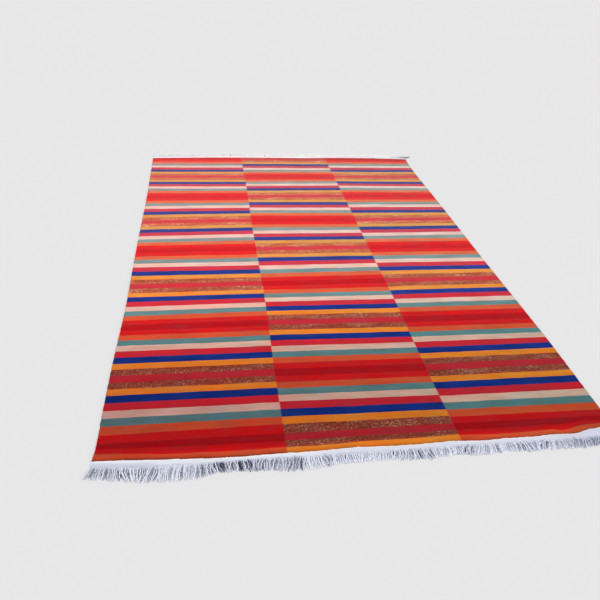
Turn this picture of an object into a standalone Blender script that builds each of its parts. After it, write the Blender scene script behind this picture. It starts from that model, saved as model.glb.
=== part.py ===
"""Flat-woven wool rug with a white web and a fringe at each end, lying flat.

Metres, +Z up. X runs across the rug and Y along it, and the underside is at z = 0.
The origin is the middle of the box round the whole rug, on the floor.
The near end is the one at -Y, the far end the one at +Y.
"""
import math
import random
from collections import namedtuple

import bmesh
import bpy

# Driving dimensions of the cloth
WIDTH = 1.83
LENGTH_BETWEEN_FRINGES = 2.783
FIELD_THICKNESS = 0.0042
WEB_THICKNESS = 0.0026
PIECE_GAP = 0.00035
EDGE_ROUNDING = 0.0012
EDGE_ROUNDING_STEPS = 2

# Driving dimensions of the fringe
STRANDS_PER_END = 144
STRAND_STEPS = 3
STRAND_ROOT_WIDTH = 0.0058
STRAND_TIP_WIDTH = 0.0042
STRAND_HEIGHT = 0.0032
STRAND_TIP_HEIGHT = 0.0024
STRAND_TOP_SHARE = 0.66
STRAND_CURL = 1.4
LENGTH_JITTER = 0.004
LEAN_JITTER = 0.0019
FRINGE_SEED = 11

# How far the loose corner strands reach past the side edges
NEAR_LEFT_REACH = 0.024
FAR_RIGHT_REACH = 0.044
CORNER_STRANDS = 5

# Faces of the field: columns across and rows along
FIELD_COLUMNS = 36
FIELD_ROWS = 18

# Colours and roughness of the yarns
WOOL_COLOUR = (0.52, 0.055, 0.045)
WOOL_ROUGHNESS = 0.92
COTTON_COLOUR = (0.74, 0.75, 0.80)
COTTON_ROUGHNESS = 0.90

HALF_LENGTH = LENGTH_BETWEEN_FRINGES / 2
MIDDLE_X = (NEAR_LEFT_REACH - FAR_RIGHT_REACH) / 2

# Sway of the two side edges along the rug, from the near end to the far end.
# A positive sway is towards +X.
Side = namedtuple("Side", "share left_sway right_sway")
SIDES = (
    Side(0.00, -0.008, -0.005),
    Side(0.02, -0.002, -0.004),
    Side(0.08, -0.003, -0.002),
    Side(0.18, -0.001, 0.004),
    Side(0.32, 0.007, 0.004),
    Side(0.46, 0.003, -0.001),
    Side(0.60, 0.002, -0.005),
    Side(0.75, 0.001, -0.004),
    Side(0.88, -0.003, -0.009),
    Side(0.96, -0.006, -0.006),
    Side(1.00, -0.008, 0.004),
)

# The near end, from left to right: set_back is how far the fringe line lies inside
# the straight end, web is the width of the white web and strand the strands' length.
End = namedtuple("End", "share set_back web strand")
NEAR_END = (
    End(0.00, 0.010, 0.028, 0.042),
    End(0.05, 0.004, 0.031, 0.054),
    End(0.10, 0.000, 0.0295, 0.062),
    End(0.13, 0.000, 0.027, 0.0637),
    End(0.18, 0.000, 0.0215, 0.060),
    End(0.205, 0.000, 0.0195, 0.042),
    End(0.235, 0.000, 0.019, 0.042),
    End(0.27, 0.000, 0.019, 0.044),
    End(0.33, 0.000, 0.022, 0.053),
    End(0.375, 0.000, 0.021, 0.056),
    End(0.42, 0.000, 0.0245, 0.040),
    End(0.46, 0.000, 0.0275, 0.040),
    End(0.51, 0.000, 0.0245, 0.035),
    End(0.56, 0.000, 0.023, 0.044),
    End(0.60, 0.000, 0.024, 0.043),
    End(0.645, 0.000, 0.0275, 0.034),
    End(0.71, 0.000, 0.0215, 0.043),
    End(0.75, 0.000, 0.0245, 0.031),
    End(0.785, 0.000, 0.0245, 0.041),
    End(0.82, 0.000, 0.0245, 0.039),
    End(0.87, 0.000, 0.0275, 0.040),
    End(0.90, 0.000, 0.030, 0.041),
    End(0.93, 0.001, 0.0345, 0.038),
    End(0.96, 0.002, 0.041, 0.036),
    End(1.00, 0.004, 0.050, 0.038),
)
FAR_END = (
    End(0.00, 0.030, 0.026, 0.044),
    End(0.09, 0.020, 0.026, 0.056),
    End(0.18, 0.012, 0.025, 0.050),
    End(0.30, 0.005, 0.024, 0.060),
    End(0.42, 0.001, 0.024, 0.046),
    End(0.56, 0.000, 0.025, 0.0635),
    End(0.62, 0.000, 0.022, 0.057),
    End(0.68, 0.001, 0.016, 0.050),
    End(0.74, 0.002, 0.012, 0.054),
    End(0.80, 0.004, 0.010, 0.058),
    End(0.86, 0.006, 0.009, 0.053),
    End(0.92, 0.009, 0.011, 0.048),
    End(1.00, 0.013, 0.014, 0.050),
)

# Waves that make neighbouring strands lean together: how far the tips sway, how many
# strands one wave takes and where it starts. The bulge bows the strands on their way,
# and the curl above is how late on its way a strand takes up its lean.
Lean = namedtuple("Lean", "reach wave_strands phase")
NEAR_LEANS = (Lean(0.0090, 27.0, 0.6), Lean(0.0040, 9.5, 2.1))
FAR_LEANS = (Lean(0.0095, 31.0, 3.4), Lean(0.0036, 8.5, 0.9))
BULGE_REACH = 0.0040
BULGE_WAVE_STRANDS = 11.0


def clear_scene():
    """Remove every object, so that the rug stands alone."""
    for scene_object in list(bpy.data.objects):
        bpy.data.objects.remove(scene_object, do_unlink=True)


def lerp(low, high, share):
    """Value at a share of the way from low to high."""
    return low + (high - low) * share


def table_slope(rows, index, column):
    """Slope of one column at a row, from the rows on either side of it."""
    before = rows[max(index - 1, 0)]
    after = rows[min(index + 1, len(rows) - 1)]
    return (getattr(after, column) - getattr(before, column)) / (after.share - before.share)


def table_value(rows, share, column):
    """Value of one column at a share, on a smooth curve through the table's rows."""
    index = 0
    while index < len(rows) - 2 and rows[index + 1].share < share:
        index += 1
    first = rows[index]
    second = rows[index + 1]
    span = second.share - first.share
    t = (share - first.share) / span
    start = getattr(first, column)
    finish = getattr(second, column)
    start_slope = table_slope(rows, index, column) * span
    finish_slope = table_slope(rows, index + 1, column) * span
    return (
        start * (1 + 2 * t) * (1 - t) ** 2
        + start_slope * t * (1 - t) ** 2
        + finish * t * t * (3 - 2 * t)
        - finish_slope * t * t * (1 - t)
    )


def side_x(across, along):
    """X of the point at a share across the rug, between its swaying side edges."""
    left = -WIDTH / 2 + table_value(SIDES, along, "left_sway")
    right = WIDTH / 2 + table_value(SIDES, along, "right_sway")
    return MIDDLE_X + lerp(left, right, across)


def fringe_line_y(end_rows, side, across):
    """Y of the line where the web stops and the fringe starts; side is -1 or +1."""
    return side * (HALF_LENGTH - table_value(end_rows, across, "set_back"))


def field_end_y(end_rows, side, across):
    """Y of the field's end edge, straight between the field's own columns."""
    column = min(int(across * FIELD_COLUMNS), FIELD_COLUMNS - 1)
    edge = []
    for station in (column / FIELD_COLUMNS, (column + 1) / FIELD_COLUMNS):
        web = table_value(end_rows, station, "web")
        edge.append(fringe_line_y(end_rows, side, station) - side * web)
    return lerp(edge[0], edge[1], across * FIELD_COLUMNS - column)


def grid_sheet(mesh, columns, rows, place):
    """Lay a grid of faces on the floor; place gives x and y from two grid counts."""
    half = 0.5
    made = bmesh.ops.create_grid(mesh, x_segments=columns, y_segments=rows, size=half)
    for vertex in made["verts"]:
        column = round((vertex.co.x + half) * columns)
        row = round((vertex.co.y + half) * rows)
        vertex.co.x, vertex.co.y = place(column, row)
        vertex.co.z = 0.0


def thicken(mesh, thickness):
    """Raise a copy of the flat sheet to its thickness and close its sides."""
    raised = bmesh.ops.extrude_face_region(
        mesh, geom=mesh.faces[:], use_keep_orig=True
    )
    for item in raised["geom"]:
        if isinstance(item, bmesh.types.BMVert):
            item.co.z = thickness
    bmesh.ops.recalc_face_normals(mesh, faces=mesh.faces[:])


def finish_object(name, mesh, material):
    """Turn an edited mesh into a scene object that wears its own material."""
    data = bpy.data.meshes.new(name)
    mesh.to_mesh(data)
    mesh.free()
    data.materials.append(material)
    made = bpy.data.objects.new(name, data)
    bpy.context.scene.collection.objects.link(made)
    return made


def yarn_material(name, colour, roughness):
    """Matt yarn material of one plain colour."""
    material = bpy.data.materials.new(name)
    material.use_nodes = True
    shader = material.node_tree.nodes["Principled BSDF"]
    shader.inputs["Base Color"].default_value = (*colour, 1.0)
    shader.inputs["Roughness"].default_value = roughness
    shader.inputs["Metallic"].default_value = 0.0
    return material


def make_field(material):
    """The striped cloth: one flat sheet with swaying sides, bowed ends, round edges."""

    def place(column, row):
        across = column / FIELD_COLUMNS
        along = row / FIELD_ROWS
        near = field_end_y(NEAR_END, -1, across)
        far = field_end_y(FAR_END, 1, across)
        return side_x(across, along), lerp(near, far, along)

    mesh = bmesh.new()
    grid_sheet(mesh, FIELD_COLUMNS, FIELD_ROWS, place)
    thicken(mesh, FIELD_THICKNESS)
    field = finish_object("woven_field", mesh, material)
    rounding = field.modifiers.new("edge_rounding", "BEVEL")
    rounding.width = EDGE_ROUNDING
    rounding.segments = EDGE_ROUNDING_STEPS
    rounding.limit_method = "ANGLE"
    return field


def strand_share(index):
    """Share across the rug of a strand's root."""
    return (index + 0.5) / STRANDS_PER_END


def corner_lean(side, index):
    """Outward lean of the loose strands at the near left and the far right corner."""
    root_inset = WIDTH * strand_share(0)
    if side < 0:
        place = index
        reach = -(NEAR_LEFT_REACH + root_inset - STRAND_TIP_WIDTH / 2)
        sway = SIDES[0].left_sway
    else:
        place = STRANDS_PER_END - 1 - index
        reach = FAR_RIGHT_REACH + root_inset - STRAND_TIP_WIDTH / 2
        sway = SIDES[-1].right_sway
    share = max(1 - place / CORNER_STRANDS, 0.0)
    return (reach - sway) * share * share


def strand_paths(side, end_rows, leans):
    """Centre points of every strand of one end, from its root to its tip."""
    draw = random.Random(FRINGE_SEED + side)
    paths = []
    for index in range(STRANDS_PER_END):
        across = strand_share(index)
        root_x = side_x(across, 0.0 if side < 0 else 1.0)
        root_y = fringe_line_y(end_rows, side, across)
        length = table_value(end_rows, across, "strand") - draw.uniform(0.0, LENGTH_JITTER)
        sway = draw.uniform(-LEAN_JITTER, LEAN_JITTER)
        bulge = BULGE_REACH * math.sin(2 * math.pi * index / BULGE_WAVE_STRANDS)
        for lean in leans:
            turn = 2 * math.pi * index / lean.wave_strands + lean.phase
            sway += lean.reach * math.sin(turn)
        corner = corner_lean(side, index)
        if corner != 0.0:
            sway = corner
            bulge = 0.0
        points = []
        for step in range(1, STRAND_STEPS + 1):
            t = step / STRAND_STEPS
            x = root_x + sway * t ** STRAND_CURL + bulge * math.sin(math.pi * t)
            points.append((x, root_y + side * length * t))
        paths.append(points)
    return paths


def left_to_right(faces):
    """Faces in the order of their middles along X."""
    return sorted(faces, key=lambda face: face.calc_center_median().x)


def root_faces(mesh, side):
    """Every second face of the web's outer side, which the strands grow from."""
    outward = 0.5
    outer = [face for face in mesh.faces if face.normal.y * side > outward]
    return left_to_right(outer)[1::2]


def grow_strands(mesh, roots, paths):
    """Extrude each root face along its strand's path; every strand lies on the floor."""
    faces = roots
    for step in range(STRAND_STEPS):
        t = (step + 1) / STRAND_STEPS
        half_width = lerp(STRAND_ROOT_WIDTH, STRAND_TIP_WIDTH, t) / 2
        height = lerp(STRAND_HEIGHT, STRAND_TIP_HEIGHT, t)
        grown = bmesh.ops.extrude_discrete_faces(mesh, faces=faces)["faces"]
        faces = left_to_right(grown)
        for face, path in zip(faces, paths):
            centre = face.calc_center_median()
            x, y = path[step]
            for vertex in face.verts:
                on_top = vertex.co.z > centre.z
                reach = half_width * (STRAND_TOP_SHARE if on_top else 1.0)
                vertex.co.x = x + (reach if vertex.co.x > centre.x else -reach)
                vertex.co.y = y
                vertex.co.z = height if on_top else 0.0


def make_fringed_web(name, side, end_rows, leans, material):
    """White end web with its fringe: a strip parted from the field, strands fused to it."""
    root_share = STRAND_ROOT_WIDTH / WIDTH
    stations = [0.0]
    for index in range(STRANDS_PER_END):
        stations.append(strand_share(index) - root_share / 2)
        stations.append(strand_share(index) + root_share / 2)
    stations.append(1.0)
    along = 0.0 if side < 0 else 1.0

    def place(column, row):
        across = stations[column]
        inner = row == (1 if side < 0 else 0)
        if inner:
            y = field_end_y(end_rows, side, across) + side * PIECE_GAP
        else:
            y = fringe_line_y(end_rows, side, across)
        return side_x(across, along), y

    mesh = bmesh.new()
    grid_sheet(mesh, len(stations) - 1, 1, place)
    thicken(mesh, WEB_THICKNESS)
    roots = root_faces(mesh, side)
    grow_strands(mesh, roots, strand_paths(side, end_rows, leans))
    return finish_object(name, mesh, material)


def main():
    """Build the field and its two fringed webs."""
    clear_scene()
    make_field(yarn_material("field_wool", WOOL_COLOUR, WOOL_ROUGHNESS))
    near_cotton = yarn_material("near_fringe_cotton", COTTON_COLOUR, COTTON_ROUGHNESS)
    make_fringed_web("near_fringe", -1, NEAR_END, NEAR_LEANS, near_cotton)
    far_cotton = yarn_material("far_fringe_cotton", COTTON_COLOUR, COTTON_ROUGHNESS)
    make_fringed_web("far_fringe", 1, FAR_END, FAR_LEANS, far_cotton)


main()
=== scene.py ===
"""Striped flat-woven wool rug with white end webs and fringes, spread on a pale floor.

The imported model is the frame. Each operator below makes one piece of the rug, or a pair
of like pieces, with its finish, and the last one sets up the floor, light and camera.
Metres, +Z up: X runs across the rug, Y along it, and its underside lies at z = 0.
"""
import math
import random
from bisect import bisect_left
from collections import namedtuple
from itertools import accumulate
from types import SimpleNamespace

import bpy
import numpy as np
from mathutils import Matrix, Vector, noise


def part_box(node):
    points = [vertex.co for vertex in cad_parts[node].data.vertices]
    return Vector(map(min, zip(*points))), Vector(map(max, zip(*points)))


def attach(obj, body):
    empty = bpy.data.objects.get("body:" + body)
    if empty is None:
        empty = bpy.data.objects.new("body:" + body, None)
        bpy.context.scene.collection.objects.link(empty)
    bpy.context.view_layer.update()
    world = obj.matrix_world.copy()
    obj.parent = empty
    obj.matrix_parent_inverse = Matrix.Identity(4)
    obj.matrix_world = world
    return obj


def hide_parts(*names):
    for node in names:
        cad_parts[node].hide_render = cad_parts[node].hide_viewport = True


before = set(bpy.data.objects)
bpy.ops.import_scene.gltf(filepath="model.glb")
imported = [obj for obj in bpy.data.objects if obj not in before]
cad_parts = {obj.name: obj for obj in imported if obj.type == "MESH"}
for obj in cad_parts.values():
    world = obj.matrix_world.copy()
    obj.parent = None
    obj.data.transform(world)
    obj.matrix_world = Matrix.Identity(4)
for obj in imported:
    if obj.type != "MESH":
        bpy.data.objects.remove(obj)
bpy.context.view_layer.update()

bl_info = {
    "name": "Striped Flatweave Rug",
    "version": (1, 0, 0),
    "blender": (4, 5, 0),
    "location": "3D View > Sidebar > Rug",
    "description": "Weaves a striped wool rug with fringed ends",
    "category": "Object",
}


def table(kind, *rows):
    """Rows of a table, each with the named columns of its kind."""
    return tuple(kind(*row) for row in rows)


# The rug's outline, as in the frame: half the length reaches to the fringe lines, and the
# rows fill the cloth between its two ends. The flat lengths are those of its three sheets.
WIDTH = 1.83
LANES = 3
HALF_LENGTH = 1.3915
MIDDLE_X = -0.010
CLOTH_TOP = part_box("woven_field")[1].z
WEB_TOP = 0.0026
PIECE_GAP = 0.00035
ROWS_LENGTH = 2 * HALF_LENGTH - 0.045

# Sway of the side edges and of the two lane joins, from the near end to the far end.
# A positive sway is towards +X.
Lines = namedtuple("Lines", "share left first_join second_join right")
LINES = table(
    Lines,
    (0.00, -0.010, 0.009, 0.011, -0.003),
    (0.02, -0.004, 0.009, 0.010, -0.001),
    (0.08, -0.005, 0.008, 0.008, 0.002),
    (0.18, -0.004, 0.008, 0.008, 0.008),
    (0.32, 0.003, 0.012, 0.013, 0.005),
    (0.46, 0.000, 0.008, 0.009, 0.001),
    (0.60, -0.001, 0.003, 0.008, 0.001),
    (0.75, 0.000, 0.004, 0.006, 0.000),
    (0.88, -0.005, 0.000, 0.001, -0.005),
    (0.96, -0.008, -0.004, -0.002, -0.001),
    (1.00, -0.010, -0.006, -0.004, 0.007),
)

# The near and the far end, from left to right: set_back is how far the fringe line lies
# inside the straight end, web the width of the white web, strand the strands' length and
# lap how far the upper strands start inside the web's edge.
End = namedtuple("End", "share set_back web strand lap")
NEAR_END = table(
    End,
    (0.00, 0.010, 0.028, 0.042, 0.003),
    (0.05, 0.004, 0.031, 0.054, 0.003),
    (0.10, 0.000, 0.0295, 0.062, 0.003),
    (0.13, 0.000, 0.027, 0.0637, 0.0035),
    (0.18, 0.000, 0.0215, 0.060, 0.003),
    (0.205, 0.000, 0.0195, 0.042, 0.004),
    (0.235, 0.000, 0.019, 0.042, 0.0045),
    (0.27, 0.000, 0.019, 0.044, 0.007),
    (0.33, 0.000, 0.022, 0.053, 0.007),
    (0.375, 0.000, 0.021, 0.056, 0.007),
    (0.42, 0.000, 0.0245, 0.040, 0.007),
    (0.46, 0.000, 0.0275, 0.040, 0.007),
    (0.51, 0.000, 0.0245, 0.035, 0.007),
    (0.56, 0.000, 0.023, 0.044, 0.007),
    (0.60, 0.000, 0.024, 0.043, 0.007),
    (0.645, 0.000, 0.0275, 0.034, 0.007),
    (0.71, 0.000, 0.0215, 0.043, 0.007),
    (0.75, 0.000, 0.0245, 0.031, 0.007),
    (0.785, 0.000, 0.0245, 0.041, 0.007),
    (0.82, 0.000, 0.0245, 0.039, 0.007),
    (0.865, 0.000, 0.029, 0.040, 0.007),
    (0.885, 0.000, 0.0265, 0.041, 0.007),
    (0.915, 0.001, 0.0275, 0.040, 0.007),
    (0.932, 0.0015, 0.036, 0.038, 0.007),
    (0.95, 0.002, 0.042, 0.036, 0.007),
    (1.00, 0.004, 0.050, 0.038, 0.007),
)
FAR_END = table(
    End,
    (0.00, 0.030, 0.026, 0.044, 0.007),
    (0.09, 0.020, 0.026, 0.056, 0.007),
    (0.18, 0.012, 0.025, 0.050, 0.007),
    (0.30, 0.005, 0.024, 0.060, 0.007),
    (0.42, 0.001, 0.024, 0.046, 0.007),
    (0.56, 0.000, 0.025, 0.0635, 0.007),
    (0.62, 0.000, 0.022, 0.057, 0.007),
    (0.68, 0.001, 0.016, 0.050, 0.007),
    (0.74, 0.002, 0.012, 0.054, 0.007),
    (0.80, 0.004, 0.010, 0.058, 0.007),
    (0.86, 0.006, 0.009, 0.053, 0.007),
    (0.92, 0.009, 0.011, 0.048, 0.007),
    (1.00, 0.013, 0.014, 0.050, 0.007),
)

# The stripes of half a repeat, from the middle of the dark red one to the middle of the
# rose one. The other half is its mirror image. The last column is what the yarn's red,
# green and blue are multiplied by in the far half of the rug, a painted haze, as of
# sheen seen at a low angle.
Stripe = namedtuple("Stripe", "yarn width fade")
STRIPES = table(
    Stripe,
    ("dark_red", 0.021, (1.22, 0.76, 1.00)),
    ("red", 0.035, (0.98, 1.20, 1.08)),
    ("orange", 0.035, (0.93, 1.43, 1.62)),
    ("teal", 0.036, (1.90, 1.12, 1.06)),
    ("cream", 0.036, (0.94, 1.02, 1.12)),
    ("crimson", 0.038, (0.82, 2.00, 1.90)),
    ("blue", 0.039, (13.5, 1.33, 0.95)),
    ("gold", 0.034, (0.70, 1.09, 2.75)),
    ("brown", 0.035, (1.58, 1.88, 1.47)),
    ("rose", 0.020, (1.04, 1.78, 1.52)),
)
STRIPE_ENDS = tuple(accumulate(stripe.width for stripe in STRIPES))
STRIPE_STARTS = (0.0, *STRIPE_ENDS[:-1])
HALF_REPEAT = STRIPE_ENDS[-1]
FIRST_DARK_RED_Y = -1.3015

# How far the hand-beaten wefts lie from their even places, at the left and the right of
# each lane, from the near end to the far end. A positive drift is towards the far end.
Drift = namedtuple("Drift", "y left_1 right_1 left_2 right_2 left_3 right_3")
DRIFTS = table(
    Drift,
    (-1.360, 0.027, 0.017, 0.011, 0.019, 0.012, 0.024),
    (-1.341, 0.033, 0.013, 0.010, 0.018, 0.012, 0.023),
    (-1.317, 0.024, 0.005, 0.006, 0.003, 0.005, 0.010),
    (-1.285, -0.003, -0.003, -0.003, -0.001, -0.003, -0.010),
    (-1.250, -0.003, 0.005, 0.005, 0.000, -0.006, -0.012),
    (-1.200, 0.004, 0.007, 0.008, 0.000, -0.004, -0.007),
    (-1.000, 0.005, 0.007, 0.004, -0.001, -0.004, -0.001),
    (-0.700, -0.001, 0.004, 0.003, -0.005, -0.006, -0.005),
    (-0.580, -0.012, -0.001, 0.003, -0.003, -0.004, -0.001),
    (-0.380, -0.015, -0.009, -0.011, -0.008, -0.005, -0.001),
    (-0.300, -0.012, -0.008, -0.013, -0.008, -0.005, -0.002),
    (-0.150, -0.007, -0.004, -0.005, 0.000, 0.002, 0.002),
    (0.050, -0.010, 0.004, 0.004, 0.006, 0.007, 0.009),
    (0.300, -0.009, 0.010, 0.010, 0.008, 0.009, 0.018),
    (0.450, -0.004, 0.011, 0.017, 0.011, 0.014, 0.017),
    (0.700, 0.003, 0.013, 0.014, 0.022, 0.024, 0.023),
    (0.900, -0.004, 0.003, 0.007, 0.023, 0.023, 0.017),
    (1.050, -0.010, 0.000, 0.001, 0.009, 0.013, 0.016),
    (1.300, -0.013, -0.001, -0.007, 0.001, 0.013, 0.019),
)

# How far the wefts of the last near stripe are bowed, from left to right, on top of their
# drift. A positive shift is towards the far end.
Bow = namedtuple("Bow", "share shift")
NEAR_BOW = table(
    Bow,
    (0.00, 0.013), (0.05, 0.001), (0.11, -0.009), (0.19, -0.009),
    (0.26, -0.006), (0.33, 0.000), (0.40, -0.002), (0.49, 0.004),
    (0.56, 0.000), (0.68, 0.006), (0.74, -0.003), (0.83, -0.001),
    (0.865, 0.000), (0.88, -0.007), (0.90, -0.006), (0.915, 0.005),
    (0.932, 0.019), (0.95, 0.024), (1.00, 0.030),
)

# The bow is full up to the first of these two places along, and gone from the second on
BOWED_Y = (-1.345, -1.285)

# Grid of the cloth and the webs: marks from an edge, marks about a join and the longest
# steps between them. The slack keeps rounding from moving a column on a join to another
# lane.
RIM_MARKS = (0.0, 0.0004, 0.0011, 0.0023, 0.0042, 0.0068, 0.0105, 0.0150)
JOIN_MARKS = (-0.0085, -0.0050, -0.0024, 0.0, 0.0024, 0.0050, 0.0085)
COLUMN_STEP = 0.0195
ROW_STEP = 0.0090
WEB_COLUMN_STEP = 0.0062
WEB_ROWS = 22
ROUNDING_SLACK = 1e-9

# Fine shape of the cloth and the webs: how far each effect reaches and how far it spreads
# to both sides, the room left for it under the top, and the rounded rims, each with its
# depth and the share of the height that it starts at
RIPPLE_REACH = 0.0018
CORD_INSET = 0.0050
CORD_SPREAD = 0.0036
JOIN_SPREAD = 0.0035
BITE_SPREAD = 0.012
SIDE_UNEVENNESS = 0.0012
SEAM_RIDGE_INSET = 0.0012
SEAM_RIDGE_SPREAD = 0.0045
WEB_SCALLOP = 0.0014
WEB_FRAY = 0.0022
WEB_RELIEF = 0.0004
CLOTH_ROOM = 0.0004
WEB_ROOM = 0.0003
SIDE_RIM = (0.0030, 0.30)
END_RIM = (0.0028, 0.40)
SEAM_RIM = (0.0010, 0.60)
OUTER_RIM = (0.0020, 0.45)
WEB_SIDE_RIM = (0.0024, 0.35)

# Locks of fringe, as in the frame: their leans, their bulge and the loose corner ones
LOCKS_PER_END = 144
LOCK_SEED = 11
LOCK_CURL = 1.4
LENGTH_JITTER = 0.004
LEAN_JITTER = 0.0019
BULGE_REACH = 0.0040
BULGE_WAVE_LOCKS = 11.0
NEAR_LEFT_REACH = 0.024
FAR_RIGHT_REACH = 0.056
CORNER_LOCKS = 5
CORNER_TIP = 0.0021

# Habits of the strands: the range of each random draw, as a share of the full length,
# lap or thickness, or in metres. The upper strands lie on top, the under ones beneath.
# The strands of a lock fill a share of its width, a group is gathered by a share of its
# length, and the drag is nothing at the undragged share across.
GROUP_COUNTS = (1, 1, 2, 2, 3)
GROUP_LEAN = 0.0032
GATHERED = (-0.10, 0.30)
UNDER_GATHERED = 0.1
GATHERED_BY = 0.45
UPPER_LENGTHS = (0.88, 1.03)
UNDER_LENGTHS = (0.72, 0.94)
UPPER_STARTS = (0.43, 1.57)
UNDER_STARTS = (0.50, 0.86)
ROOT_JITTER = 0.0005
UPPER_LIFTS = (0.0022, 0.0034)
UPPER_GIRTHS = (0.9, 1.1)
UNDER_GIRTH = 0.94
STRAY_CHANCE = 0.24
STRAY_REACHES = (0.005, 0.011)
CRIMPS = (0.0003, 0.0011)
CRIMP_TURNS = (1.2, 2.6)
# Spreads and shares of the strands' dirt and painted shade
DUST_AND_SHADE_SPREADS = (-0.40, -0.28, -0.14, 0.0, 0.14, 0.40)
UNDER_DUST_AND_SHADE_SHARES = (0.75, 1.15)
LOCK_FILL = 0.94
UNDRAGGED = 0.22
STRAND_SIDES = 5
STRAND_OVAL = (1.15, 0.90)
RINGS_PER_TWIST = 5.0

# Course of a strand from its root to its tip: its girth, how soon its crimp sets in and its
# lift ends, how rounded the lift is, how high its middle rides on the floor in radii, how
# far ahead and behind its heading looks, and its dirt and painted shade at both ends with
# the rates between
GIRTH_PLACES = (0.0, 0.12, 0.86, 1.0)
GIRTHS = (0.80, 1.00, 0.86, 0.42)
CRIMP_ONSET = 4
LIFT_PACE = 1.1
LIFT_ROUNDING = 0.7
RIDE_HEIGHT = 1.1
HEADING_REACH = 0.02
ROOT_DUST_AND_SHADE = 0.25
DUST_AND_SHADE_RISE = 3.5
TIP_DUST_AND_SHADE = 0.85
DUST_AND_SHADE_FALL = 1.5

# Slow waves in which the locks lean: how far, over how many locks, and from which phase
Lean = namedtuple("Lean", "reach wave_locks phase")
NEAR_LEANS = (Lean(0.0090, 27.0, 0.6), Lean(0.0040, 9.5, 2.1))
FAR_LEANS = (Lean(0.0095, 31.0, 3.4), Lean(0.0036, 8.5, 0.9))

# Partings of the fringes: where the upper strands draw apart, at half their length, and
# how far each side is pushed. The under ones close in a little, and are darker there with
# painted shade in the gap.
Parting = namedtuple("Parting", "share push")
NEAR_PARTINGS = table(
    Parting,
    (0.022, 0.0018), (0.036, 0.0028), (0.049, 0.0028), (0.081, 0.0024),
    (0.109, 0.0024), (0.151, 0.0026), (0.186, 0.0024), (0.207, 0.0040),
    (0.217, 0.0036), (0.236, 0.0036), (0.248, 0.0028), (0.260, 0.0038),
    (0.269, 0.0040), (0.283, 0.0030), (0.303, 0.0022), (0.314, 0.0024),
    (0.333, 0.0024), (0.356, 0.0032), (0.396, 0.0020), (0.437, 0.0022),
    (0.527, 0.0030), (0.575, 0.0032), (0.666, 0.0036), (0.677, 0.0036),
    (0.732, 0.0022), (0.785, 0.0030), (0.822, 0.0028), (0.834, 0.0034),
    (0.896, 0.0020), (0.948, 0.0020),
)
FAR_PARTINGS = table(
    Parting,
    (0.151, 0.0034), (0.263, 0.0030), (0.293, 0.0040), (0.430, 0.0030),
)
PARTING_SPREAD = 0.0062
FULL_PARTING = 0.0034
UNDER_PUSH = 0.4
PARTING_SHADE = 1.15
# Cap on the painted shade that a parting puts on its under strands
DARKEST_PARTING_SHADE = 1.2

# Dirt and painted shade on the strands from left to right, 0 for clean cotton and 1 for
# near black: upper for the strands that lie on top, under for those between and beneath
# them, whose darkness paints the shade in the gaps between the upper ones
Dust = namedtuple("Dust", "share upper under")
NEAR_DUST_AND_SHADE = table(
    Dust,
    (0.00, 0.44, 0.52), (0.03, 0.44, 0.75), (0.05, 0.38, 0.74), (0.075, 0.29, 0.58),
    (0.10, 0.35, 0.68), (0.125, 0.34, 0.58), (0.155, 0.17, 0.28), (0.185, 0.38, 0.72),
    (0.22, 0.52, 1.00), (0.265, 0.64, 1.15), (0.295, 0.46, 0.90), (0.32, 0.31, 0.54),
    (0.347, 0.54, 0.90), (0.374, 0.15, 0.24), (0.40, 0.38, 0.60), (0.44, 0.26, 0.44),
    (0.51, 0.24, 0.40), (0.595, 0.38, 0.60), (0.62, 0.22, 0.36), (0.675, 0.46, 0.72),
    (0.705, 0.22, 0.36), (0.73, 0.32, 0.52), (0.757, 0.27, 0.42), (0.795, 0.46, 0.64),
    (0.85, 0.32, 0.42), (0.90, 0.52, 0.60), (1.00, 0.56, 0.65),
)
FAR_DUST_AND_SHADE = table(
    Dust,
    (0.00, 0.06, 0.30), (0.94, 0.08, 0.35), (1.00, 0.75, 0.95),
)

# The two ends of the rug; side is -1 at the near one and +1 at the far one
Fringe = namedtuple("Fringe", "name side end leans partings dust")
FRINGES = (
    Fringe("near", -1, NEAR_END, NEAR_LEANS, NEAR_PARTINGS, NEAR_DUST_AND_SHADE),
    Fringe("far", 1, FAR_END, FAR_LEANS, FAR_PARTINGS, FAR_DUST_AND_SHADE),
)

# Uneven lines of the pattern: how far the wefts wander, the teeth of the lane joins and
# how far the flecks gather in the patches
LINE_WOBBLE = 0.006
JOIN_TOOTH = 0.004
FLECK_DRIFT = 0.17
PLIES_PER_METRE = 620.0

# Colours besides the yarns' own. The flecks, the brown ground being the second of them,
# start at the given shares of all wefts. A tint or a cast is what a colour is multiplied
# by, and those in pairs go from one end of a range to the other. The shade shares say how
# much each unevenness of the yarn adds to its shade.
FLECK_SHARES = (0.0, 0.18, 0.62, 0.84, 0.93)
DARK_FLECK = (0.060, 0.013, 0.011)
PALE_FLECKS = ((0.225, 0.048, 0.028), (0.34, 0.120, 0.070), (0.50, 0.250, 0.150))
SHADE_TINTS = ((0.80, 0.80, 0.80), (1.20, 1.20, 1.20))
SHADE_SHARES = (("Patch", 0.45), ("Streak", 0.20), ("Weft Value", 0.15), ("Slub", 0.20))
PATCH_TINTS = ((1.05, 0.92, 0.88), (0.95, 1.08, 1.12))
NEAR_CASTS = ((1.0, 0.87, 0.91), (1.0, 1.13, 1.09))
FAR_CASTS = ((1.055, 1.0, 1.0), (0.93, 1.02, 1.02))
BLOOM = (0.30, 0.29, 0.30)
BLOOM_SHARE = 0.022
WORN_TINT = (1.36, 1.30, 1.2)
# Painted shade along the near end of the cloth, next to its web
NEAR_RIM_SHADE_TINT = (0.52, 0.60, 0.72)
FAR_SOIL_TINT = (0.72, 0.56, 0.80)
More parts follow.
